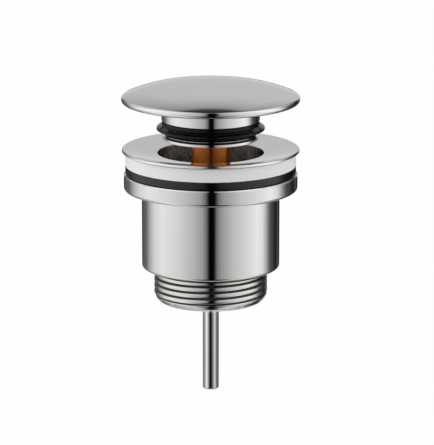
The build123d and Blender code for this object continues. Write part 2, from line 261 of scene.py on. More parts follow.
def ramp(tree, value, *stops):
    """Grey ramp between (place, level) stops."""
    node = add(tree, "ShaderNodeValToRGB", _0=value)
    elements = node.color_ramp.elements
    while len(elements) < len(stops):
        elements.new(0.5)
    for element, (place, level) in zip(elements, stops):
        element.position = place
        element.color = (level, level, level, 1)
    return node.outputs["Color"]


def polish_haze(tree, size_mm, low, high):
    """Roughness that drifts between two values over patches of about a size."""
    place = add(tree, "ShaderNodeTexCoord").outputs["Object"]
    noise = add(tree, "ShaderNodeTexNoise", Vector=place, Scale=1 / (size_mm * MM), Detail=4.0)
    drift = add(
        tree, "ShaderNodeMapRange", _0=noise.outputs[0], _1=NOISE_LOW, _2=NOISE_HIGH,
        _3=low, _4=high,
    )
    return drift.outputs[0]


def turned_lines(tree, spacing_mm, height_mm):
    """Bump of fine rings about the axis, left by the lathe and the buffing wheel.

    Real ones lie under a tenth of a millimetre apart, too fine to show, so these are coarser.
    """
    place = add(tree, "ShaderNodeTexCoord").outputs["Object"]
    parts = add(tree, "ShaderNodeSeparateXYZ", _0=place).outputs
    squared = add(tree, "ShaderNodeMath", {"operation": "MULTIPLY"}, _0=parts[0], _1=parts[0])
    other = add(tree, "ShaderNodeMath", {"operation": "MULTIPLY"}, _0=parts[1], _1=parts[1])
    both = add(tree, "ShaderNodeMath", _0=squared.outputs[0], _1=other.outputs[0])
    radius = add(tree, "ShaderNodeMath", {"operation": "SQRT"}, _0=both.outputs[0])
    along = add(tree, "ShaderNodeCombineXYZ", _0=radius.outputs[0], _2=parts[2])
    lines = add(tree, "ShaderNodeTexNoise", Vector=along.outputs[0], Scale=1 / (spacing_mm * MM))
    depth = {"Strength": 0.5, "Distance": height_mm * MM}
    return add(tree, "ShaderNodeBump", Height=lines.outputs[0], **depth).outputs[0]


def drawn_out(tree):
    """Sockets for a turned finish, whose rings draw each reflection out up and down."""
    around = add(tree, "ShaderNodeTangent", {"direction_type": "RADIAL", "axis": "Z"})
    return {"Anisotropic": 0.85, "Anisotropic_Rotation": 0.25, "Tangent": around.outputs[0]}


def chrome(name, colour, low, high, line_mm):
    """Bright chrome plate on polished brass: a mirror with the faintest haze from buffing.

    line_mm is the depth of the fine rings that the lathe leaves, 0 where none show.
    """
    made, tree = material(name)
    base = hexed(colour)
    haze = polish_haze(tree, 6, low, high)
    if line_mm:
        surface(tree, base, Metallic=1.0, Roughness=haze, Normal=turned_lines(tree, 0.35, line_mm))
    else:
        surface(tree, base, Metallic=1.0, Roughness=haze)
    return made


def bore_chrome():
    """Chrome on the turned bore, which nobody buffs, so it is soft and streaked; its grey colour is
    painted shade inside the bore.
    """
    made, tree = material("chrome_on_turned_bore")
    rough = polish_haze(tree, 4, 0.21, 0.25)
    lines = turned_lines(tree, 0.3, 0.001)
    drawn = drawn_out(tree)
    # Painted shade: the grey base colour darkens the chrome inside the bore.
    surface(tree, hexed("#BDB8B3"), Metallic=1.0, Roughness=rough, Normal=lines, **drawn)
    return made


def thread_chrome():
    """Chrome on a cut thread: bright on the crests; down in the groove, painted shade turns it grey
    and it is rougher.
    """
    made, tree = material("chrome_on_cut_thread")
    depth = add(tree, "ShaderNodeAttribute", {"attribute_name": "Depth"}).outputs["Fac"]
    # Painted shade: the deeper the cut, the darker grey the chrome and the rougher it is, standing
    # in for shade in the groove.
    groove_shade_and_dullness = ramp(tree, depth, (0.0, 0.0), (0.25, 0.25), (0.6, 1.0), (1.0, 1.0))
    tint = add(
        tree, "ShaderNodeMix", {"data_type": "RGBA"}, _0=groove_shade_and_dullness, _6=hexed("#E4E2E1"),
        _7=hexed("#47443F"),
    )
    haze = polish_haze(tree, 6, 0.04, 0.07)
    rough = add(tree, "ShaderNodeMix", _0=groove_shade_and_dullness, _2=haze, _3=0.35)
    surface(tree, tint.outputs[2], Metallic=1.0, Roughness=rough.outputs[0])
    return made


def raw_brass():
    """Turned brass without plating: warm satin, whose tool rings draw light out up and down."""
    made, tree = material("raw_turned_brass")
    place = add(tree, "ShaderNodeTexCoord").outputs["Object"]
    stain = add(tree, "ShaderNodeTexNoise", Vector=place, Scale=1 / (3 * MM), Detail=5.0)
    tint = add(
        tree, "ShaderNodeMix", {"data_type": "RGBA"}, _0=stain.outputs[0],
        _6=hexed("#E88F42"), _7=hexed("#D88038"),
    )
    rough = polish_haze(tree, 2, 0.34, 0.42)
    lines = turned_lines(tree, 0.25, 0.002)
    drawn = drawn_out(tree)
    surface(tree, tint.outputs[2], Metallic=1.0, Roughness=rough, Normal=lines, **drawn)
    return made


def silicone():
    """Moulded white silicone: soft light through its skin and a dull sheen."""
    made, tree = material("moulded_white_silicone")
    place = add(tree, "ShaderNodeTexCoord").outputs["Object"]
    cloud = add(tree, "ShaderNodeTexNoise", Vector=place, Scale=1 / (9 * MM), Detail=3.0)
    tint = add(
        tree, "ShaderNodeMix", {"data_type": "RGBA"}, _0=cloud.outputs[0],
        _6=hexed("#EDEDEC"), _7=hexed("#E2E2E1"),
    )
    grain = add(tree, "ShaderNodeTexNoise", Vector=place, Scale=1 / (0.4 * MM), Detail=2.0)
    bump = add(tree, "ShaderNodeBump", Height=grain.outputs[0], Strength=0.3, Distance=0.01 * MM)
    soft = {"Subsurface_Weight": 0.15, "Subsurface_Scale": 2 * MM, "IOR": 1.41}
    rough = polish_haze(tree, 4, 0.42, 0.55)
    surface(tree, tint.outputs[2], Roughness=rough, Normal=bump.outputs[0], **soft)
    return made


def rubber(name, sheen, low, high, grain_mm):
    """Moulded black rubber: near black, with a soft grey sheen where it faces a light."""
    made, tree = material(name)
    place = add(tree, "ShaderNodeTexCoord").outputs["Object"]
    bloom = add(tree, "ShaderNodeTexNoise", Vector=place, Scale=1 / (5 * MM), Detail=4.0)
    tint = add(
        tree, "ShaderNodeMix", {"data_type": "RGBA"}, _0=bloom.outputs[0],
        _6=hexed("#040404"), _7=hexed("#0A0A0A"),
    )
    grain = add(tree, "ShaderNodeTexNoise", Vector=place, Scale=1 / (grain_mm * MM), Detail=3.0)
    bump = add(tree, "ShaderNodeBump", Height=grain.outputs[0], Strength=0.4, Distance=0.02 * MM)
    rough = polish_haze(tree, 3, low, high)
    shine = {"Specular_IOR_Level": sheen, "IOR": 1.52}
    surface(tree, tint.outputs[2], Roughness=rough, Normal=bump.outputs[0], **shine)
    return made


def moulded(name, pale, dark, low, high, ior):
    """Moulded plastic with the slight orange peel of the tool."""
    made, tree = material(name)
    place = add(tree, "ShaderNodeTexCoord").outputs["Object"]
    cloud = add(tree, "ShaderNodeTexNoise", Vector=place, Scale=1 / (4 * MM), Detail=3.0)
    tint = add(
        tree, "ShaderNodeMix", {"data_type": "RGBA"}, _0=cloud.outputs[0],
        _6=hexed(pale), _7=hexed(dark),
    )
    peel = add(tree, "ShaderNodeTexNoise", Vector=place, Scale=1 / (0.5 * MM), Detail=2.0)
    bump = add(tree, "ShaderNodeBump", Height=peel.outputs[0], Strength=0.3, Distance=0.01 * MM)
    rough = polish_haze(tree, 3, low, high)
    surface(tree, tint.outputs[2], Roughness=rough, Normal=bump.outputs[0], IOR=ior)
    return made


def steel(name, colour, low, high):
    """Ground or drawn steel: grey metal with fine lines about the axis."""
    made, tree = material(name)
    rough = polish_haze(tree, 2, low, high)
    lines = turned_lines(tree, 0.2, 0.002)
    surface(tree, hexed(colour), Metallic=1.0, Roughness=rough, Normal=lines)
    return made


# Geometry nodes


def tree_with(name, **inputs):
    """Geometry node tree with a geometry input and output and named number inputs."""
    tree = bpy.data.node_groups.new(name, "GeometryNodeTree")
    tree.interface.new_socket("Geometry", in_out="INPUT", socket_type="NodeSocketGeometry")
    for label, value in inputs.items():
        socket = tree.interface.new_socket(label, in_out="INPUT", socket_type="NodeSocketFloat")
        socket.default_value = value
    tree.interface.new_socket("Geometry", in_out="OUTPUT", socket_type="NodeSocketGeometry")
    return tree, tree.nodes.new("NodeGroupInput").outputs


def calc(tree, operation, *values):
    """Result of one Math node."""
    links = {f"_{at}": value for at, value in enumerate(values)}
    return add(tree, "ShaderNodeMath", {"operation": operation}, **links).outputs[0]


def finish_tree(tree, geometry, finish):
    real = add(tree, "GeometryNodeRealizeInstances", Geometry=geometry).outputs[0]
    painted = add(tree, "GeometryNodeSetMaterial", Geometry=real, Material=finish).outputs[0]
    tree.links.new(painted, tree.nodes.new("NodeGroupOutput").inputs[0])


def run_tree(piece, tree):
    """Puts the tree on a piece, keeps its result as the piece's plain mesh, and drops it."""
    modifier = piece.modifiers.new("rule", "NODES")
    modifier.node_group = tree
    ready = piece.evaluated_get(bpy.context.evaluated_depsgraph_get())
    mesh = bpy.data.meshes.new_from_object(ready)
    piece.modifiers.clear()
    piece.data = mesh


def thread_tree(finish, bottom, top, neck, outer_r, first_crest):
    """Cuts a pipe thread with broad flat crests into the outer wall of a finely ringed sleeve.

    The groove's place follows the angle, so that the crests climb to the right as seen from
    outside, and its depth fades at both ends as the tool runs in and out. Above the height neck
    the wall is turned down to the groove's depth, as an undercut for the tool.
    """
    tree, given = tree_with(
        "cut_pipe_thread", Pitch=PITCH * MM, Depth=THREAD_DEPTH * MM, Bottom=bottom * MM,
        Top=top * MM, Neck=neck * MM, Crest=first_crest * MM, Groove=GROOVE_SHARE,
        Root=ROOT_SHARE, Crown=CREST_CROWN * MM, Run=THREAD_RUN * MM,
        Wall=(outer_r - 2 * THREAD_DEPTH) * MM,
    )
    place = add(tree, "GeometryNodeInputPosition").outputs[0]
    x, y, z = add(tree, "ShaderNodeSeparateXYZ", _0=place).outputs
    squares = calc(tree, "ADD", calc(tree, "MULTIPLY", x, x), calc(tree, "MULTIPLY", y, y))
    radius = calc(tree, "SQRT", squares)
    turns = calc(tree, "DIVIDE", calc(tree, "ARCTAN2", y, x), 2 * pi)
    rise = calc(tree, "DIVIDE", calc(tree, "SUBTRACT", z, given["Crest"]), given["Pitch"])
    phase = calc(tree, "FRACT", calc(tree, "SUBTRACT", rise, turns))
    off_middle = calc(tree, "ABSOLUTE", calc(tree, "SUBTRACT", phase, 0.5))
    from_groove = calc(tree, "MULTIPLY", off_middle, 2.0)
    smooth = {"interpolation_type": "SMOOTHSTEP"}
    groove = add(
        tree, "ShaderNodeMapRange", smooth, _0=from_groove, _1=given["Groove"], _2=given["Root"]
    ).outputs[0]
    off_crest = calc(tree, "SUBTRACT", 1.0, from_groove)
    crown = calc(tree, "MULTIPLY", calc(tree, "MULTIPLY", off_crest, off_crest), given["Crown"])
    run_in = add(
        tree, "ShaderNodeMapRange", smooth, _0=calc(tree, "SUBTRACT", given["Top"], z),
        _1=0.0, _2=given["Run"],
    )
    run_out = add(
        tree, "ShaderNodeMapRange", smooth, _0=calc(tree, "SUBTRACT", z, given["Bottom"]),
        _1=0.0, _2=given["Run"],
    )
    fade = calc(tree, "MULTIPLY", run_in.outputs[0], run_out.outputs[0])
    undercut = calc(tree, "GREATER_THAN", z, given["Neck"])
    deep = calc(tree, "MAXIMUM", calc(tree, "MULTIPLY", groove, fade), undercut)
    cut = calc(tree, "MULTIPLY_ADD", deep, given["Depth"], calc(tree, "MULTIPLY", crown, fade))
    share = calc(tree, "DIVIDE", calc(tree, "SUBTRACT", radius, cut), radius)
    moved = add(
        tree, "ShaderNodeCombineXYZ", _0=calc(tree, "MULTIPLY", x, share),
        _1=calc(tree, "MULTIPLY", y, share), _2=z,
    )
    outer = calc(tree, "GREATER_THAN", radius, given["Wall"])
    cut_sleeve = add(
        tree, "GeometryNodeSetPosition", Geometry=given["Geometry"], Selection=outer,
        Position=moved.outputs[0],
    )
    # Depth records how deep the groove is cut; the thread's finish paints shade in the groove by
    # it.
    marked = add(
        tree, "GeometryNodeStoreNamedAttribute", Geometry=cut_sleeve.outputs[0], Name="Depth",
        Value=calc(tree, "MULTIPLY", deep, outer),
    )
    finish_tree(tree, marked.outputs[0], finish)
    return tree


def threaded_sleeve(name, inner_r, outline_outside, bottom, top, neck, first_crest, finish):
    """Ring whose outside follows a line of (radius, height) points, with a thread cut in it."""
    rows = []
    for (r0, z0), (r1, z1) in zip(outline_outside, outline_outside[1:]):
        steps = max(1, ceil(abs(z1 - z0) / THREAD_ROW))
        for step in range(steps):
            share = step / steps
            rows.append((r0 + (r1 - r0) * share, z0 + (z1 - z0) * share, 0))
    rows.append((*outline_outside[-1], 0))
    sleeve = spun(name, [(inner_r, rows[0][1], 0), *rows, (inner_r, rows[-1][1], 0)])
    sleeve.data.attributes.remove(sleeve.data.attributes["custom_normal"])
    outer_r = max(r for r, _, _ in rows)
    tree = thread_tree(finish, bottom, top, neck, outer_r, first_crest)
    run_tree(sleeve, tree)
    sleeve.data.shade_smooth()
    return sleeve


SPIRAL_STEPS = 48


def spring_tree(finish, coil_r, wire, turns, height):
    """Coil of square wire: a spiral line with a small square carried along it."""
    tree, given = tree_with(
        "wind_spring", Coil=coil_r * MM, Wire=wire * MM, Turns=turns, Height=height * MM
    )
    line = add(
        tree, "GeometryNodeCurveSpiral", _0=SPIRAL_STEPS, _1=given["Turns"], _2=given["Coil"],
        _3=given["Coil"], _4=given["Height"],
    )
    wire_side = {"_0": given["Wire"], "_1": given["Wire"]}
    square = add(tree, "GeometryNodeCurvePrimitiveQuadrilateral", **wire_side)
    wound = add(
        tree, "GeometryNodeCurveToMesh", Curve=line.outputs[0],
        Profile_Curve=square.outputs[0], Fill_Caps=True,
    )
    finish_tree(tree, wound.outputs[0], finish)
    return tree


def round_about_tree(name, finish, count, first_turn):
    """Repeats the piece it is given, evenly about the Z axis."""
    tree, given = tree_with(name, Count=count, First=first_turn)
    whole = add(tree, "FunctionNodeFloatToInt", _0=given["Count"]).outputs[0]
    points = add(tree, "GeometryNodePoints", Count=whole).outputs[0]
    index = add(tree, "GeometryNodeInputIndex").outputs[0]
    step = calc(tree, "DIVIDE", 2 * pi, given["Count"])
    angle = calc(tree, "ADD", calc(tree, "MULTIPLY", index, step), given["First"])
    turn = add(tree, "ShaderNodeCombineXYZ", _2=angle).outputs[0]
    copies = add(
        tree, "GeometryNodeInstanceOnPoints", Points=points, Instance=given["Geometry"],
        Rotation=turn,
    )
    finish_tree(tree, copies.outputs[0], finish)
    return tree


def bar_piece(name, corners, bevel):
    """Bevelled straight bar between two corners in millimetres."""
    low, high = corners
    mesh = bpy.data.meshes.new(name)
    shape = bmesh.new()
    bmesh.ops.create_cube(shape, size=1)
    for vertex in shape.verts:
        for axis in range(3):
            vertex.co[axis] = (low[axis] if vertex.co[axis] < 0 else high[axis]) * MM
    bmesh.ops.bevel(shape, geom=list(shape.edges), offset=bevel * MM, segments=3, affect="EDGES")
    bmesh.ops.recalc_face_normals(shape, faces=shape.faces)
    shape.to_mesh(mesh)
    shape.free()
    piece = bpy.data.objects.new(name, mesh)
    bpy.context.scene.collection.objects.link(piece)
    return piece


# Pieces

CHROME_CAP = chrome("polished_chrome_cap", "#E4E2E1", 0.03, 0.055, 0.0004)
CHROME = chrome("polished_chrome", "#E4E2E1", 0.02, 0.045, 0.0004)
CHROME_THREAD = thread_chrome()
CHROME_BORE = bore_chrome()
BRASS = raw_brass()
SILICONE = silicone()
GASKET_RUBBER = rubber("moulded_black_rubber", 0.5, 0.09, 0.13, 0.3)
SEAL_RUBBER = rubber("glossy_black_seal_rubber", 0.2, 0.1, 0.15, 0.4)
BLACK_NYLON = moulded("moulded_black_nylon", "#101011", "#1A1A1B", 0.4, 0.5, 1.53)
ACETAL = moulded("moulded_white_acetal", "#E9E6DC", "#DAD6C9", 0.35, 0.45, 1.48)
STAINLESS = steel("drawn_stainless_steel", "#B9B8B4", 0.18, 0.28)
SPRING_STEEL = steel("spring_steel", "#8E8D8A", 0.22, 0.34)


def finished(piece, body, node, paint, replaces=True):
    """Gives a piece its material and body, and hides the CAD node that it stands for when it
    replaces it.
    """
    if not piece.data.materials or piece.data.materials[0] is None:
        piece.data.materials.clear()
        piece.data.materials.append(paint)
    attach(piece, body)
    if replaces:
        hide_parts(node)


# Sizes that the frame's boxes don't give, as in the CAD source, but for the rim: its round stands
# in for the solid's two small breaks, and it is dropped a little, as the photograph shows it.
THREAD_OUTER_R = 20.955
CLEAR_R = 21.3
LIP_Z = 4.75
SEAT_R = 19.6
SEAT_BOTTOM = -5.45
SEAT_STEP = 1.3
BORE_R = 18.3
LIP_ROUND = 0.3
DISH_END = 11.0
RIM_ROUND = 0.85
RIM_DROP = 0.2
RIM_EDGE = 1.1
RIM_BEVEL_W = 1.55
RIM_BEVEL_H = 0.5
PLATE_T = 2.3
PIPE_LEAD = 1.2
NO_NECK_Z = 50

# Core under a thread's sleeve: how it narrows below the sleeve's top and at its own end
CORE_STEP = 0.5
CORE_BEVEL = 0.8
CORE_END_WALL = 0.1
HIDDEN_END = 0.02


def make_flange():
    """Dished flange and the throat down to where the thread begins."""
    throat_end, rim_top, flange_r = extent("flange_throat")
    washer_bottom = extent("sealing_washer")[0]
    core_r = THREAD_OUTER_R - THREAD_DEPTH - SLEEVE_LAP
    rim_centre = (flange_r - RIM_ROUND, rim_top - RIM_DROP - RIM_ROUND)
    rim = arc(rim_centre, RIM_ROUND, 90 + DISH_END, 0)
    dish_start = 2 * degrees(atan2(rim[0][1] - LIP_Z, rim[0][0] - SEAT_R)) - DISH_END
    start, end = radians(dish_start), radians(DISH_END)
    dish_r = (rim[0][0] - SEAT_R) / (sin(end) - sin(start))
    centre = (SEAT_R - dish_r * sin(start), LIP_Z + dish_r * cos(start))
    dish = arc(centre, dish_r, dish_start - 90, DISH_END - 90, 16)
    outline = [
        (*dish[0], LIP_ROUND),
        *dish[1:],
        *rim[1:],
        (flange_r, rim_top - RIM_EDGE, 0.1),
        (flange_r - RIM_BEVEL_W, rim_top - RIM_EDGE - RIM_BEVEL_H),
        (THREAD_OUTER_R, LIP_Z - PLATE_T),
        (THREAD_OUTER_R, washer_bottom, 0),
        (core_r, washer_bottom - CORE_STEP, 0),
        (core_r, throat_end + CORE_BEVEL, 0),
        (SEAT_R + CORE_END_WALL, throat_end + HIDDEN_END, 0),
        (BORE_R, throat_end + HIDDEN_END),
        (BORE_R, SEAT_BOTTOM - SEAT_STEP),
        (SEAT_R, SEAT_BOTTOM),
    ]
    flange = spun("flange_dish", outline)
    finished(flange, "waste", "flange_throat", CHROME)
    flange.data.materials.append(CHROME_BORE)
    # Faces inside the seat below the lip take the bore chrome, whose grey is painted shade.
    for face in flange.data.polygons:
        below_lip = face.center.z < (LIP_Z - LIP_ROUND) * MM
        if below_lip and face.center.xy.length < (SEAT_R + 0.01) * MM:
            face.material_index = 1
    lead = [(THREAD_OUTER_R - PIPE_LEAD, throat_end), (THREAD_OUTER_R, throat_end + PIPE_LEAD)]
    outside = [*lead, (THREAD_OUTER_R, washer_bottom)]
    sleeve = threaded_sleeve(
        "throat_thread", SEAT_R + SLEEVE_LAP, outside, throat_end, washer_bottom, NO_NECK_Z,
        washer_bottom, CHROME_THREAD,
    )
    finished(sleeve, "waste", "flange_throat", CHROME_THREAD, False)


WASHER_ROUND_LOW = 0.35
WASHER_ROUND_TOP = 0.25
GASKET_ROUND_LOW = 0.8
GASKET_ROUND_TOP = 0.4
RING_ROUND = 1.2
RING_BEVEL = 0.4


def make_washer_and_gasket():
    bottom, top, outer_r = extent("sealing_washer")
    root_z = LIP_Z - PLATE_T
    outline = [
        (CLEAR_R, bottom), (outer_r, bottom, WASHER_ROUND_LOW), (outer_r, top, WASHER_ROUND_TOP),
        (CLEAR_R, root_z),
    ]
    washer = spun("white_washer", outline)
    finished(washer, "waste", "sealing_washer", SILICONE)
    bottom, top, outer_r = extent("gasket")
    outline = [
        (CLEAR_R, bottom), (outer_r, bottom, GASKET_ROUND_LOW), (outer_r, top, GASKET_ROUND_TOP),
        (CLEAR_R, top),
    ]
    gasket = spun("black_gasket", outline)
    finished(gasket, "clamp", "gasket", GASKET_RUBBER)


def make_clamp_ring():
    bottom, top, outer_r = extent("clamp_ring")
    outline = [
        (CLEAR_R, bottom), (outer_r, bottom, RING_ROUND), (outer_r, top - RING_BEVEL),
        (outer_r - RING_BEVEL, top), (CLEAR_R, top),
    ]
    finished(spun("clamp_ring_turned", outline), "clamp", "clamp_ring", CHROME)
    bottom, top, outer_r = extent("slip_washer")
    slip = plain_ring("slip_ring", CLEAR_R, outer_r, bottom, top, edge=0.1)
    finished(slip, "clamp", "slip_washer", BLACK_NYLON)


BODY_FLOOR_Z = -38.4
BODY_ROUND = 1.05
TAIL_LEAD = [(2.05, 0.0), (1.2, 0.7), (0.5, 1.85), (0.0, 3.2)]
TAIL_RUN_OUT = 1.5
TAIL_BORE_R = 17.0
RELIEF_R = 22.3
RELIEF_END_Z = -35.6
RELIEF_CONE_H = 2.0
FEMALE_THREAD_H = 11.0
TAIL_CREST = -39.65
TAIL_NECK = 1.55
TAIL_INNER_BEVEL_W = 0.3
TAIL_INNER_BEVEL_H = 0.5
TAIL_SHORT = 0.1
TAIL_CORE_IN = 0.7
TAIL_THREAD_LAP = 0.8
THREAD_FIT = 0.05
MOUTH_BEVEL = 0.6


def make_lower_body():
    """Cup without its tail thread, then the thread on the tail as a sleeve of its own."""
    bottom, top, outer_r = extent("lower_body")
    core_r = THREAD_OUTER_R - THREAD_DEPTH - SLEEVE_LAP
    lead = [(THREAD_OUTER_R - inward, bottom + rise) for inward, rise in TAIL_LEAD]
    female_end = top - FEMALE_THREAD_H
    outline = [
        (THREAD_OUTER_R + THREAD_FIT + MOUTH_BEVEL, top, 0.1),
        (outer_r, top, 0.15),
        (outer_r, BODY_FLOOR_Z, BODY_ROUND),
        (core_r, BODY_FLOOR_Z, 0),
        (core_r, lead[-1][1], 0),
        (lead[0][0] - TAIL_CORE_IN, bottom + TAIL_SHORT, 0),
        (TAIL_BORE_R + TAIL_INNER_BEVEL_W, bottom + TAIL_SHORT),
        (TAIL_BORE_R, bottom + TAIL_SHORT + TAIL_INNER_BEVEL_H),
        (TAIL_BORE_R, RELIEF_END_Z - RELIEF_CONE_H),
        (RELIEF_R, RELIEF_END_Z),
        (RELIEF_R, female_end),
        (THREAD_OUTER_R + THREAD_FIT, female_end),
        (THREAD_OUTER_R + THREAD_FIT, top - MOUTH_BEVEL),
    ]
    body = spun("body_cup", outline)
    finished(body, "lower_body", "lower_body", CHROME)
    outside = [*lead, (THREAD_OUTER_R, BODY_FLOOR_Z)]
    thread_top = BODY_FLOOR_Z + TAIL_THREAD_LAP
    ends = (bottom + TAIL_RUN_OUT, thread_top, BODY_FLOOR_Z - TAIL_NECK)
    sleeve = threaded_sleeve(
        "tail_thread_turned", TAIL_BORE_R + 0.01, outside, *ends, TAIL_CREST, CHROME_THREAD
    )
    finished(sleeve, "lower_body", "lower_body", CHROME_THREAD, False)


CROSS_WALL = 2.3
CROSS_RING_H = 4.4
ARM_W = 2.6
ARM_H = 6.4
ARM_LAP_HUB = 1
ARM_LAP_RING = 0.5
HUB_R = 9.6
NUT_ACROSS = 19.0
NUT_FACE_IN = 0.1
NUT_CROWN = 0.6
NUT_SHARP = radians(25)


def make_cross():
    bottom, hub_top, outer_r = extent("cross")
    barrel_r = extent("cartridge_barrel")[2]
    wall_r = outer_r - CROSS_WALL
    edge = plain_ring("cross_ring", wall_r, outer_r, bottom, bottom + CROSS_RING_H, edge=0.2)
    finished(edge, "waste", "cross", BRASS)
    hub = plain_ring("cross_hub", barrel_r, HUB_R, bottom, hub_top, SMALL_SPIN, 0.5)
    finished(hub, "waste", "cross", BRASS, False)
    low = (HUB_R - ARM_LAP_HUB, -ARM_W / 2, bottom)
    high = (wall_r + ARM_LAP_RING, ARM_W / 2, bottom + ARM_H)
    arms = bar_piece("cross_arms", (low, high), 0.3)
    run_tree(arms, round_about_tree("cross_arms_rule", BRASS, 4, radians(45)))
    finished(arms, "waste", "cross", BRASS, False)
    bottom, top, _ = extent("lock_nut")
    nut = hex_nut("cartridge_nut", barrel_r, NUT_ACROSS / 2, bottom, top)
    finished(nut, "waste", "lock_nut", BRASS)


def hex_nut(name, hole_r, apothem, bottom, top):
    """Hexagon nut with a chamfered crown, as a spun blank cut flat on six sides."""
    corner_r = apothem / cos(pi / 6)
    crown = (corner_r - apothem) * NUT_CROWN
    face_r = apothem - NUT_FACE_IN
    outline = [
        (hole_r, bottom), (face_r, bottom), (corner_r, bottom + crown),
        (corner_r, top - crown), (face_r, top), (hole_r, top),
    ]
    blank = spun(name, outline, MIDDLE_SPIN)
    for vertex in blank.data.vertices:
        angle = atan2(vertex.co.y, vertex.co.x)
        from_flat = (angle + pi / 6) % (pi / 3) - pi / 6
        limit = apothem * MM / cos(from_flat)
        radius = hypot(vertex.co.x, vertex.co.y)
        if radius > limit:
            vertex.co.x *= limit / radius
            vertex.co.y *= limit / radius
    blank.data.attributes.remove(blank.data.attributes["custom_normal"])
    blank.data.shade_smooth()
    blank.data.set_sharp_from_angle(angle=NUT_SHARP)
    return blank


STEM_HOLE_R = 3.05
STEM_SEAT_R = 3.01
BARREL_WALL = 1.55
BARREL_FLOOR = 1.4
BARREL_LIP_H = 0.8
BARREL_LIP_W = 0.6
BARREL_ROUND_LOW = 0.4
BARREL_ROUND_TOP = 0.45


def make_cartridge():
    bottom, top, outer_r = extent("cartridge_barrel")
    bore_r = outer_r - BARREL_WALL
    outline = [
        (STEM_HOLE_R, bottom), (outer_r, bottom, BARREL_ROUND_LOW),
        (outer_r, top, BARREL_ROUND_TOP),
        (bore_r - BARREL_LIP_W, top), (bore_r - BARREL_LIP_W, top - BARREL_LIP_H),
        (bore_r, top - BARREL_LIP_H), (bore_r, bottom + BARREL_FLOOR),
        (STEM_HOLE_R, bottom + BARREL_FLOOR),
    ]
    barrel = spun("barrel_turned", outline, MIDDLE_SPIN)
    finished(barrel, "waste", "cartridge_barrel", BRASS)
    low, high, bush_r = extent("guide_bush")
    bush = plain_ring("bush_turned", STEM_HOLE_R, bush_r, low, high, SMALL_SPIN)
    finished(bush, "waste", "guide_bush", BRASS)
    low, high, seat_r = extent("spring_seat")
    seat = plain_ring("spring_cup", STEM_SEAT_R, seat_r, low, high, SMALL_SPIN)
    finished(seat, "stem", "spring_seat", STAINLESS)
    low, high, collar_r = extent("stem_collar")
    collar = plain_ring("collar_turned", STEM_SEAT_R, collar_r, low, high, SMALL_SPIN, 0.2)
    finished(collar, "stem", "stem_collar", BRASS)
    make_spring()


SPRING_WIRE = 0.8
SPRING_TURNS = 5


def make_spring():
    bottom, top, outer_r = extent("return_spring")
    spring = bar_piece("coil_spring", ((0, 0, 0), (1, 1, 1)), 0.1)
    coil_r = outer_r - SPRING_WIRE / 2
    height = top - bottom - SPRING_WIRE
    run_tree(spring, spring_tree(SPRING_STEEL, coil_r, SPRING_WIRE, SPRING_TURNS, height))
    for vertex in spring.data.vertices:
        vertex.co.z += (bottom + SPRING_WIRE / 2) * MM
    finished(spring, "waste", "return_spring", SPRING_STEEL)
    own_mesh(spring)


STEM_BEVEL = 0.4


def make_stem():
    bottom, top, radius = extent("stem")
    outline = [
        (0, bottom), (radius - STEM_BEVEL, bottom), (radius, bottom + STEM_BEVEL),
        (radius, top - STEM_BEVEL), (radius - STEM_BEVEL, top), (0, top),
    ]
    stem = spun("stem_rod", outline, MIDDLE_SPIN)
    finished(stem, "stem", "stem", CHROME)


WEB_BOTTOM = 21.6
WEB_TOP = 24.3
STUB_R = 4.95
NECK_BOTTOM = 16.95
NECK_WALL = 2.7
SPIGOT_R = 15.85
SPIGOT_BORE_R = 13.15
PRESS_GAP = 0.01


def make_neck():
    disc_top, stub_top, neck_r = extent("plug_core")
    hollow_r = neck_r - NECK_WALL
    outline = [
        (STEM_HOLE_R, WEB_BOTTOM), (hollow_r, WEB_BOTTOM), (hollow_r, NECK_BOTTOM + NECK_WALL),
        (SPIGOT_BORE_R, NECK_BOTTOM), (SPIGOT_BORE_R, disc_top), (SPIGOT_R, disc_top),
        (SPIGOT_R, NECK_BOTTOM), (neck_r, NECK_BOTTOM, 0.25), (neck_r, WEB_TOP), (STUB_R, WEB_TOP),
        (STUB_R, stub_top), (STEM_HOLE_R, stub_top),
    ]
    finished(spun("neck_turned", outline), "plug", "plug_core", CHROME)


SEAL_BASE_R = 17.95
SEAL_FOOT_W = 1.6
SEAL_EDGE = 0.8
SEAL_TIP_RISE = 1.75
SEAL_BACK = 1.1


def make_lip_seal():
    bottom, top, tip_r = extent("lip_seal")
    tip_low = bottom + SEAL_TIP_RISE
    tip_high = tip_low + SEAL_EDGE
    outline = [
        (SPIGOT_R + PRESS_GAP, bottom), (SEAL_BASE_R - SEAL_FOOT_W, bottom),
        (SEAL_BASE_R - SEAL_EDGE, tip_low - SEAL_EDGE, 0.5), (tip_r, tip_low, 0.2),
        (tip_r, tip_high, 0.35), (SEAL_BASE_R, tip_high + SEAL_BACK, 0.6),
        (SEAL_BASE_R, top, 0.3), (SPIGOT_R + PRESS_GAP, top),
    ]
    finished(spun("lip_ring", outline), "plug", "lip_seal", SEAL_RUBBER)


DISC_T = 1.82
DISC_BEVEL = 0.85
DISC_LAND = 0.1
DISC_HOLE_R = 7.65
DISC_THREAD_WALL = 2.3


def make_retainer():
    bottom, top, outer_r = extent("seal_retainer")
    shoulder = bottom + DISC_T
    thread_r = SPIGOT_BORE_R - PRESS_GAP
    outline = [
        (DISC_HOLE_R, bottom, 0.2), (outer_r, bottom, 0.15), (outer_r, shoulder - DISC_BEVEL),
        (outer_r - DISC_BEVEL, shoulder - DISC_LAND, 0), (outer_r - DISC_BEVEL, shoulder, 0.03),
        (thread_r, shoulder), (thread_r, top), (thread_r - DISC_THREAD_WALL, top),
        (thread_r - DISC_THREAD_WALL, shoulder), (DISC_HOLE_R, shoulder, 0.2),
    ]
    finished(spun("retainer_disc", outline), "plug", "seal_retainer", CHROME)


NOSE_R = 1.3
CROWN_SLOPE = 4.0
CAP_SLOPE = 23.6
CAP_WALL = 2.2
RECESS_IN_R = 19.6
RECESS_OUT_R = 30.2
STUB_HEAD_GAP = 0.05
DOME_STEPS = 48
NOSE_STEPS = 22


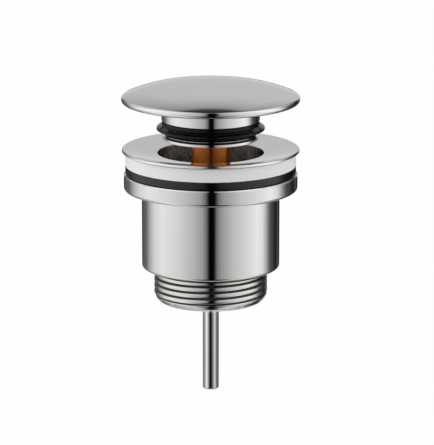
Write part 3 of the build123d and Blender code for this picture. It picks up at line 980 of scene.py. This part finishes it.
def dome_line(apex, foot, cap_r):
    """Points of the cap's top from the axis out: a flat crown arc, then a tighter flank."""
    crown, slope = radians(CROWN_SLOPE), radians(CAP_SLOPE)
    edge_r = cap_r - NOSE_R + NOSE_R * sin(slope)
    fall = apex - foot - NOSE_R - NOSE_R * cos(slope)
    crown_run, crown_fall = sin(crown), 1 - cos(crown)
    flank_run, flank_fall = sin(slope) - sin(crown), cos(crown) - cos(slope)
    shares = crown_run * flank_fall - flank_run * crown_fall
    crown_r = (edge_r * flank_fall - fall * flank_run) / shares
    flank_r = (fall * crown_run - edge_r * crown_fall) / shares
    line = []
    for step in range(DOME_STEPS + 1):
        turn = slope * step / DOME_STEPS
        inner = min(turn, crown)
        r = crown_r * sin(inner) + flank_r * (sin(turn) - sin(inner))
        drop = crown_r * (1 - cos(inner)) + flank_r * (cos(inner) - cos(turn))
        line.append((r, apex - drop))
    return line


def make_cap():
    foot, apex, cap_r = extent("plug_cap")
    stub_top = extent("plug_core")[1]
    dome = dome_line(apex, foot, cap_r)
    nose_centre = (cap_r - NOSE_R, foot + NOSE_R)
    nose = arc(nose_centre, NOSE_R, 90 - CAP_SLOPE, -90, NOSE_STEPS)[1:]
    wall_z = [z for r, z in dome if r < RECESS_OUT_R][-1] - CAP_WALL
    inner_z = [z for r, z in dome if r < RECESS_IN_R][-1] - CAP_WALL
    outline = [
        *dome, *nose, (RECESS_OUT_R, foot), (RECESS_OUT_R, wall_z, 0.5),
        (RECESS_IN_R, inner_z, 0.5),
        (RECESS_IN_R, WEB_TOP), (STUB_R + PRESS_GAP, WEB_TOP),
        (STUB_R + PRESS_GAP, stub_top + STUB_HEAD_GAP), (0, stub_top + STUB_HEAD_GAP),
    ]
    finished(spun("cap_dome", outline), "plug", "plug_cap", CHROME_CAP)


def paint_inner_nodes():
    """Inner pieces that stay as their CAD nodes, each with its own finish."""
    finishes = {
        "cam_rotor": ACETAL, "cam_pins": STAINLESS, "collar_pin": STAINLESS,
        "plug_clip": SPRING_STEEL,
    }
    for node, paint in finishes.items():
        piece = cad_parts[node]
        piece.data.materials.clear()
        piece.data.materials.append(paint)


make_flange()
make_washer_and_gasket()
make_clamp_ring()
make_lower_body()
make_cross()
make_cartridge()
make_stem()
make_neck()
make_lip_seal()
make_retainer()
make_cap()
paint_inner_nodes()


# Studio


def card(name, azimuths, elevations, across, upward, steps=(48, 24), nearer=1.0):
    """Glowing card on the tent, seen only in reflections.

    Azimuth 0 is the camera's side and 90 is to the right. across and upward are stops of
    (degrees, level) along the two ways, and a place glows with the product of both.
    """
    vertices, faces = [], []
    columns, rows = steps
    for row in range(rows + 1):
        elevation = radians(elevations[0] + (elevations[1] - elevations[0]) * row / rows)
        for column in range(columns + 1):
            azimuth = radians(azimuths[0] + (azimuths[1] - azimuths[0]) * column / columns)
            reach = cos(elevation) * TENT_R * nearer
            x, y = reach * sin(azimuth), -reach * cos(azimuth)
            vertices.append((x * MM, y * MM, (TENT_Z + TENT_R * nearer * sin(elevation)) * MM))
    for row in range(rows):
        for column in range(columns):
            first = row * (columns + 1) + column
            faces.append((first, first + columns + 1, first + columns + 2, first + 1))
    mesh = bpy.data.meshes.new(name)
    mesh.from_pydata(vertices, [], faces)
    layer = mesh.uv_layers.new(name="Spread")
    for loop in mesh.loops:
        row, column = divmod(loop.vertex_index, columns + 1)
        layer.data[loop.index].uv = (column / columns, row / rows)
    sheet = bpy.data.objects.new(name, mesh)
    bpy.context.scene.collection.objects.link(sheet)
    mesh.materials.append(glow(name + "_glow", azimuths, elevations, across, upward))
    sheet.visible_camera = False
    sheet.visible_diffuse = False
    sheet.visible_shadow = False


def glow(name, azimuths, elevations, across, upward):
    """Light of a card, whose UV map runs from 0 to 1 along each way."""
    made, tree = material(name)
    uv = add(tree, "ShaderNodeTexCoord").outputs["UV"]
    parts = add(tree, "ShaderNodeSeparateXYZ", _0=uv).outputs

    def spread(stops, ends):
        return [((place - ends[0]) / (ends[1] - ends[0]), level) for place, level in stops]

    sideways = ramp(tree, parts[0], *spread(across, azimuths))
    upwards = ramp(tree, parts[1], *spread(upward, elevations))
    strength = calc(tree, "MULTIPLY", sideways, upwards)
    light = add(tree, "ShaderNodeEmission", Color=(1, 1, 1, 1), Strength=strength)
    add(tree, "ShaderNodeOutputMaterial", Surface=light.outputs[0])
    made.cycles.emission_sampling = "NONE"
    return made


LOW_EDGE = -21.8


def make_tent():
    """Two softboxes with a dark gap for the lens, dark flags behind them, a grey back and top.

    Below the softboxes' lower edge the light narrows, which only the stem and the undersides of
    the rounds see, and behind the part it ends at the horizon.
    """
    soft = [(LOW_EDGE, 0.8), (-14, 0.84), (10, 0.98), (30, 1.02), (50, 0.96), (65, 0.85)]
    soft += [(78, 0.65)]
    left = [(-120, 0.62), (-106, 1.0), (-87, 1.2), (-54, 1.0), (-26, 0.69), (-13, 0.49)]
    left += [(-6, 0.19), (-3.5, 0.05), (-2, 0.003)]
    right = [(5, 0.003), (7, 0.05), (10.6, 0.26), (17, 0.46), (38, 0.8), (68, 1.1), (84, 1.26)]
    right += [(95, 1.1), (104, 0.62)]
    card("softbox_left", (-120, -2), (LOW_EDGE, 78), left, soft)
    card("softbox_right", (5, 104), (LOW_EDGE, 78), right, soft)
    low = [(-30, 0.75), (LOW_EDGE, 0.84)]
    low_left = [(-120, 0.3), (-94, 0.42), (-77, 0.96), (-60, 1.38), (-45, 0.86), (-29, 0.32)]
    low_left += [(-15, 0.04), (-4, 0.002)]
    low_right = [(5, 0.003), (13, 0.08), (26, 0.25), (41, 0.5), (57, 1.08), (73, 0.66)]
    low_right += [(90, 0.22), (104, 0.08)]
    card("skirt_left", (-120, -2), (-30, LOW_EDGE), low_left, low, (48, 6))
    card("skirt_right", (5, 104), (-30, LOW_EDGE), low_right, low, (48, 6))
    shine = [(-78, 0.6), (-50, 0.75), (-38, 0.95), (-30, 1.0)]
    sweep_left = [(-120, 0.5), (-92, 0.9), (-59, 1.1), (-40, 0.8), (-29, 0.5), (-20, 0.25)]
    sweep_left += [(-13, 0.08), (-6, 0.02), (-2, 0.003)]
    card("sweep_left", (-120, -2), (-78, -30), sweep_left, shine)
    sweep_right = [(5, 0.003), (12, 0.03), (25, 0.12), (33, 0.4), (40, 0.75), (68, 1.1)]
    sweep_right += [(90, 0.9), (104, 0.5)]
    card("sweep_right", (5, 104), (-78, -30), sweep_right, shine)
    dark = [(-78, 0.002), (78, 0.002)]
    card("lens_gap", (-2, 5), (-78, 78), [(-2, 1.0), (5, 1.0)], dark, (4, 24))
    head = [(14, 0.002), (78, 0.002)]
    card("camera_head", (-4, 11), (14, 78), [(-4, 1.0), (11, 1.0)], head, (8, 24), 0.97)
    dark_left = [(-155, 0.12), (-146, 0.12), (-134, 0.16), (-120, 0.5)]
    low_dark = [(-78, 1.4), (-46, 1.4), (-30, 1.1), (-2, 0.9), (12, 1.6)]
    card("flag_left", (-155, -120), (-78, 12), dark_left, low_dark)
    dark_right = [(104, 0.56), (110, 0.28), (116, 0.11), (128, 0.05), (138, 0.012), (152, 0.1)]
    low_dark = [(-78, 1.4), (-46, 1.4), (-30, 1.1), (-6, 0.8), (18, 1.4)]
    card("flag_right", (104, 152), (-78, 18), dark_right, low_dark)
    above = [(12, 0.5), (22, 0.8), (40, 1.0), (55, 0.95), (66, 0.7), (78, 0.4)]
    above_left = [(-155, 0.5), (-120, 0.95)]
    card("shoulder_left", (-155, -120), (12, 78), above_left, above)
    above_right = [(18, 0.25), (28, 0.6), (42, 0.95), (55, 0.9), (66, 0.7), (78, 0.4)]
    beyond = [(104, 1.0), (152, 0.5)]
    card("shoulder_right", (104, 152), (18, 78), beyond, above_right)
    back = [(-78, 0.7), (-45, 0.75), (-30, 0.7), (-22, 0.2), (-18, 0.03), (-5.5, 0.02)]
    back += [(-3, 0.2), (-0.5, 0.5), (1.2, 0.75), (5, 0.66), (10, 0.61), (16, 0.61)]
    back += [(24, 0.635), (36, 0.63), (43, 0.585), (50, 0.49), (55, 0.385), (56.5, 0.26)]
    back += [(58.7, 0.07), (60, 0.048), (78, 0.02)]
    back_across = [(152, 0.62), (162, 1.0), (192, 0.97), (205, 0.7)]
    card("back_wall", (152, 205), (-78, 78), back_across, back, (24, 48))
    top = [(78, 0.6), (82, 0.4), (85, 0.05), (90, 0.01)]
    round_top = [(-180, 0.03), (-155, 0.03), (-140, 1.0), (138, 1.0), (152, 0.03), (180, 0.03)]
    card("ceiling", (-180, 180), (78, 90), round_top, top, (48, 12))
    under = [(-90, 0.6), (-78, 0.6)]
    card("table", (-180, 180), (-90, -78), [(-180, 1.0), (180, 1.0)], under, (48, 3))


def seen_directly(tree):
    """1 for camera, glossy and transmission rays, 0 for the rays that carry soft light."""
    path = add(tree, "ShaderNodeLightPath").outputs
    clear = calc(tree, "MAXIMUM", path["Is Glossy Ray"], path["Is Transmission Ray"])
    return calc(tree, "MAXIMUM", path["Is Camera Ray"], clear)


def make_world():
    world = bpy.data.worlds.new("studio")
    bpy.context.scene.world = world
    world.use_nodes = True
    tree = world.node_tree
    tree.nodes.clear()
    soft = add(tree, "ShaderNodeBackground", Color=(1, 1, 1, 1), Strength=DIFFUSE_LEVEL)
    white = add(tree, "ShaderNodeBackground", Color=(1, 1, 1, 1), Strength=1.0)
    both = add(
        tree, "ShaderNodeMixShader", _0=seen_directly(tree), _1=soft.outputs[0], _2=white.outputs[0]
    )
    add(tree, "ShaderNodeOutputWorld", Surface=both.outputs[0])


FLOOR_HALF = 9000
FLOOR_SHOW = 0.98


def make_floor():
    """Pale table far below the hanging part: it shows white and keeps part of the shadow."""
    made, tree = material("pale_floor")
    paint = add(tree, "ShaderNodeBsdfDiffuse", Color=hexed("#F4F4F4"))
    white = add(tree, "ShaderNodeEmission", Color=(1, 1, 1, 1), Strength=1.0)
    share = calc(tree, "MULTIPLY", seen_directly(tree), FLOOR_SHOW)
    shown = add(tree, "ShaderNodeMixShader", _0=share, _1=paint.outputs[0], _2=white.outputs[0])
    clear = add(tree, "ShaderNodeBsdfTransparent").outputs[0]
    below = add(tree, "ShaderNodeNewGeometry").outputs["Backfacing"]
    two_sided = add(tree, "ShaderNodeMixShader", _0=below, _1=shown.outputs[0], _2=clear)
    add(tree, "ShaderNodeOutputMaterial", Surface=two_sided.outputs[0])
    made.cycles.emission_sampling = "NONE"
    half = FLOOR_HALF * MM
    corners = [(x * half, y * half, FLOOR_Z * MM) for x, y in ((-1, -1), (1, -1), (1, 1), (-1, 1))]
    mesh = bpy.data.meshes.new("floor")
    mesh.from_pydata(corners, [], [(0, 1, 2, 3)])
    mesh.materials.append(made)
    floor = bpy.data.objects.new("floor", mesh)
    bpy.context.scene.collection.objects.link(floor)


def make_lamp(name, place, size, watts):
    """Soft square lamp aimed at the part; it lights dull surfaces and isn't mirrored."""
    data = bpy.data.lights.new(name, "AREA")
    data.size = size * MM
    data.energy = watts
    lamp = bpy.data.objects.new(name, data)
    bpy.context.scene.collection.objects.link(lamp)
    lamp.location = Vector(place) * MM
    lamp.rotation_euler = (Vector((0, 0, 0)) - lamp.location).to_track_quat("-Z", "Y").to_euler()
    lamp.visible_glossy = False
    lamp.visible_camera = False


def make_camera():
    data = bpy.data.cameras.new("view")
    data.lens = LENS
    data.sensor_width = SENSOR
    data.clip_end = 50
    camera = bpy.data.objects.new("view", data)
    bpy.context.scene.collection.objects.link(camera)
    camera.location = (CAMERA_X * MM, CAMERA_Y * MM, CAMERA_Z * MM)
    camera.rotation_euler = (radians(90 - CAMERA_DOWN), 0, 0)
    bpy.context.scene.camera = camera


make_tent()
make_world()
make_floor()
make_lamp("lamp_left", (-900, -100, 250), LAMP_SIZE, 3.5)
make_lamp("lamp_right", (900, -100, 250), LAMP_SIZE, 2.4)
make_camera()
bpy.context.scene.view_settings.view_transform = "Standard"
